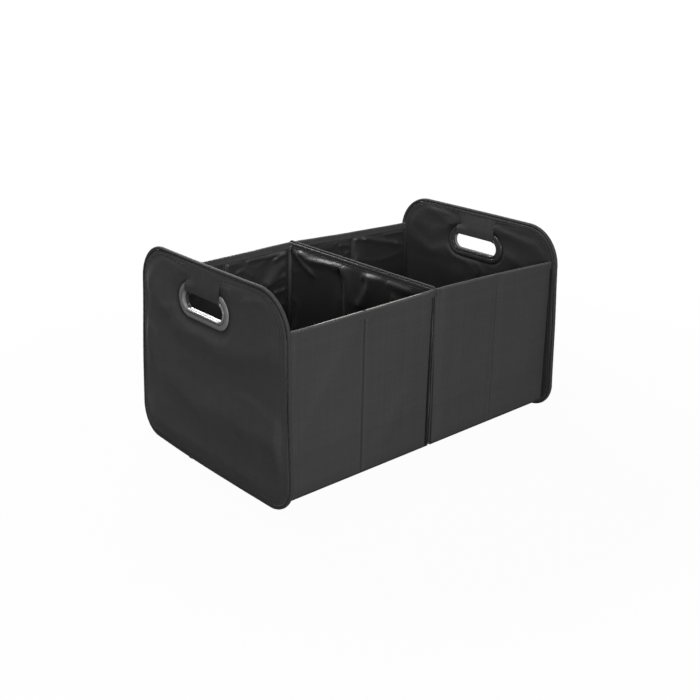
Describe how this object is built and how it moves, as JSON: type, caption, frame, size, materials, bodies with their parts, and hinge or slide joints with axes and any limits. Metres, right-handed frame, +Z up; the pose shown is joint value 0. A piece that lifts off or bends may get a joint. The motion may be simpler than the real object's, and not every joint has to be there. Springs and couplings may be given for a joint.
{
  "type": "back seat organizer",
  "caption": "Folding cloth organizer with two open compartments, stiffened hinged walls, a fixed divider and round-cornered end panels with oval handles.",
  "frame": {"origin": "on the ground under the middle of the divider, midway between the front and back walls", "axes": "+X along the length through both end panels, +Y towards the back wall, +Z up"},
  "size_m": [0.5199, 0.337, 0.28],
  "materials": {
    "outer_cloth": "matte woven polyester, dark grey",
    "lining_cloth": "coated woven polyester, near black, soft sheen",
    "piping_cloth": "woven bias tape over cord, dark grey",
    "stiff_board": "plain sheet, hidden inside the cloth",
    "handle_plastic": "semi-gloss moulded plastic, dark grey"
  },
  "bodies": {
    "divider": {"divider_board": "stiff_board", "divider_left_cloth": "lining_cloth", "divider_right_cloth": "lining_cloth", "divider_piping": "piping_cloth", "left_bottom": "lining_cloth", "right_bottom": "lining_cloth"},
    "left_front_inner": {"left_front_inner_board": "stiff_board", "left_front_inner_cover": "outer_cloth", "left_front_inner_lining": "lining_cloth", "left_front_inner_hem": "outer_cloth"},
    "left_front_outer": {"left_front_outer_board": "stiff_board", "left_front_outer_cover": "outer_cloth", "left_front_outer_lining": "lining_cloth", "left_front_outer_hem": "outer_cloth"},
    "left_back_inner": {"left_back_inner_board": "stiff_board", "left_back_inner_cover": "outer_cloth", "left_back_inner_lining": "lining_cloth", "left_back_inner_hem": "outer_cloth"},
    "left_back_outer": {"left_back_outer_board": "stiff_board", "left_back_outer_cover": "outer_cloth", "left_back_outer_lining": "lining_cloth", "left_back_outer_hem": "outer_cloth"},
    "left_end": {"left_end_board": "stiff_board", "left_end_cover": "outer_cloth", "left_end_lining": "lining_cloth", "left_end_piping": "piping_cloth", "left_end_handle_outer_ring": "handle_plastic", "left_end_handle_inner_ring": "handle_plastic", "left_end_handle_wrap": "outer_cloth"},
    "right_front_inner": {"right_front_inner_board": "stiff_board", "right_front_inner_cover": "outer_cloth", "right_front_inner_lining": "lining_cloth", "right_front_inner_hem": "outer_cloth"},
    "right_front_outer": {"right_front_outer_board": "stiff_board", "right_front_outer_cover": "outer_cloth", "right_front_outer_lining": "lining_cloth", "right_front_outer_hem": "outer_cloth"},
    "right_back_inner": {"right_back_inner_board": "stiff_board", "right_back_inner_cover": "outer_cloth", "right_back_inner_lining": "lining_cloth", "right_back_inner_hem": "outer_cloth"},
    "right_back_outer": {"right_back_outer_board": "stiff_board", "right_back_outer_cover": "outer_cloth", "right_back_outer_lining": "lining_cloth", "right_back_outer_hem": "outer_cloth"},
    "right_end": {"right_end_board": "stiff_board", "right_end_cover": "outer_cloth", "right_end_lining": "lining_cloth", "right_end_piping": "piping_cloth", "right_end_handle_outer_ring": "handle_plastic", "right_end_handle_inner_ring": "handle_plastic", "right_end_handle_wrap": "outer_cloth"}
  },
  "joints": [
    {"name": "left_fold", "type": "hinge", "parent": "divider", "child": "left_front_inner", "pos_m": [-0.004, -0.1493, 0.12], "axis": [0, 0, -1], "range_deg": [0, 90], "deforming": ["left_bottom"]},
    {"name": "left_front_middle_fold", "type": "hinge", "parent": "left_front_inner", "child": "left_front_outer", "pos_m": [-0.125, -0.1539, 0.12], "axis": [0, 0, -1], "range_deg": [-180, 0]},
    {"name": "left_end_fold", "type": "hinge", "parent": "left_front_outer", "child": "left_end", "pos_m": [-0.246, -0.1493, 0.12], "axis": [0, 0, -1], "range_deg": [0, 90]},
    {"name": "left_back_fold", "type": "hinge", "parent": "divider", "child": "left_back_inner", "pos_m": [-0.004, 0.1493, 0.12], "axis": [0, 0, -1], "range_deg": [-90, 0]},
    {"name": "left_back_middle_fold", "type": "hinge", "parent": "left_back_inner", "child": "left_back_outer", "pos_m": [-0.125, 0.1539, 0.12], "axis": [0, 0, -1], "range_deg": [0, 180]},
    {"name": "right_fold", "type": "hinge", "parent": "divider", "child": "right_front_inner", "pos_m": [0.004, -0.1493, 0.12], "axis": [0, 0, 1], "range_deg": [0, 90], "deforming": ["right_bottom"]},
    {"name": "right_front_middle_fold", "type": "hinge", "parent": "right_front_inner", "child": "right_front_outer", "pos_m": [0.125, -0.1539, 0.12], "axis": [0, 0, 1], "range_deg": [-180, 0]},
    {"name": "right_end_fold", "type": "hinge", "parent": "right_front_outer", "child": "right_end", "pos_m": [0.246, -0.1493, 0.12], "axis": [0, 0, 1], "range_deg": [0, 90]},
    {"name": "right_back_fold", "type": "hinge", "parent": "divider", "child": "right_back_inner", "pos_m": [0.004, 0.1493, 0.12], "axis": [0, 0, 1], "range_deg": [-90, 0]},
    {"name": "right_back_middle_fold", "type": "hinge", "parent": "right_back_inner", "child": "right_back_outer", "pos_m": [0.125, 0.1539, 0.12], "axis": [0, 0, 1], "range_deg": [0, 180]}
  ],
  "couplings": [
    {"joint": "left_front_middle_fold", "follows": "left_fold", "ratio": -2},
    {"joint": "left_end_fold", "follows": "left_fold", "ratio": 1},
    {"joint": "left_back_fold", "follows": "left_fold", "ratio": -1},
    {"joint": "left_back_middle_fold", "follows": "left_fold", "ratio": 2},
    {"joint": "right_front_middle_fold", "follows": "right_fold", "ratio": -2},
    {"joint": "right_end_fold", "follows": "right_fold", "ratio": 1},
    {"joint": "right_back_fold", "follows": "right_fold", "ratio": -1},
    {"joint": "right_back_middle_fold", "follows": "right_fold", "ratio": 2}
  ]
}
